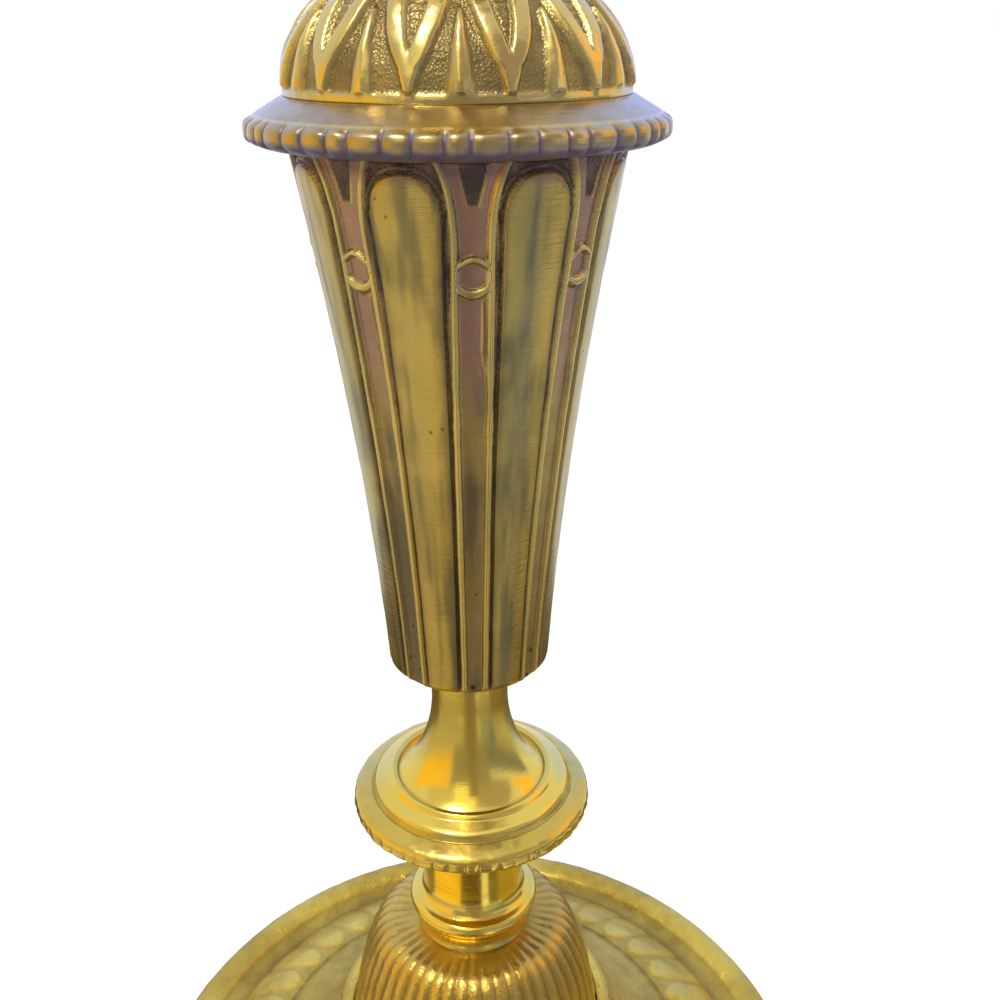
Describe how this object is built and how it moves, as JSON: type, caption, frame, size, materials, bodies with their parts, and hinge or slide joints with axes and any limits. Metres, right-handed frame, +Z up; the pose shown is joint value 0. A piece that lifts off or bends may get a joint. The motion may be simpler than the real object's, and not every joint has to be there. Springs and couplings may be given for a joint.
{
  "type": "candlestick",
  "caption": "Brass candlestick with a leaf-banded round foot, reeded mound, knop, tapered panelled stem, domed shoulder, vase nozzle and loose drip pan, on a hidden tie rod.",
  "frame": {"origin": "centre of the foot, on the surface that it stands on", "axes": "+Z up the column; -Y is the front, the side that the picture looks at"},
  "size_m": [0.138, 0.138, 0.285],
  "materials": {
    "cast_brass": "cast and chased brass, satin, brown patina in the hollows, bright on the high spots",
    "polished_brass": "turned and polished brass with fine turning lines and thin brown lines in the grooves",
    "stem_brass": "cast brass, filed and brushed smooth, olive tone, dark stippled grounds",
    "rod_steel": "plain dull steel with a little rust brown"
  },
  "bodies": {
    "column": {"foot": "cast_brass", "reeded_mound": "cast_brass", "spool_collar": "polished_brass", "knop": "polished_brass", "trumpet_neck": "polished_brass", "stem": "stem_brass", "shoulder_flange": "stem_brass", "leaf_dome": "cast_brass", "upper_collar": "polished_brass", "nozzle": "polished_brass", "tie_rod": "rod_steel", "foot_washer": "rod_steel", "foot_nut": "rod_steel"},
    "pan": {"drip_pan": "polished_brass"}
  },
  "joints": [
    {"name": "pan_lift", "type": "slide", "parent": "column", "child": "pan", "axis": [0, 0, 1], "range_m": [0, 0.03]}
  ]
}
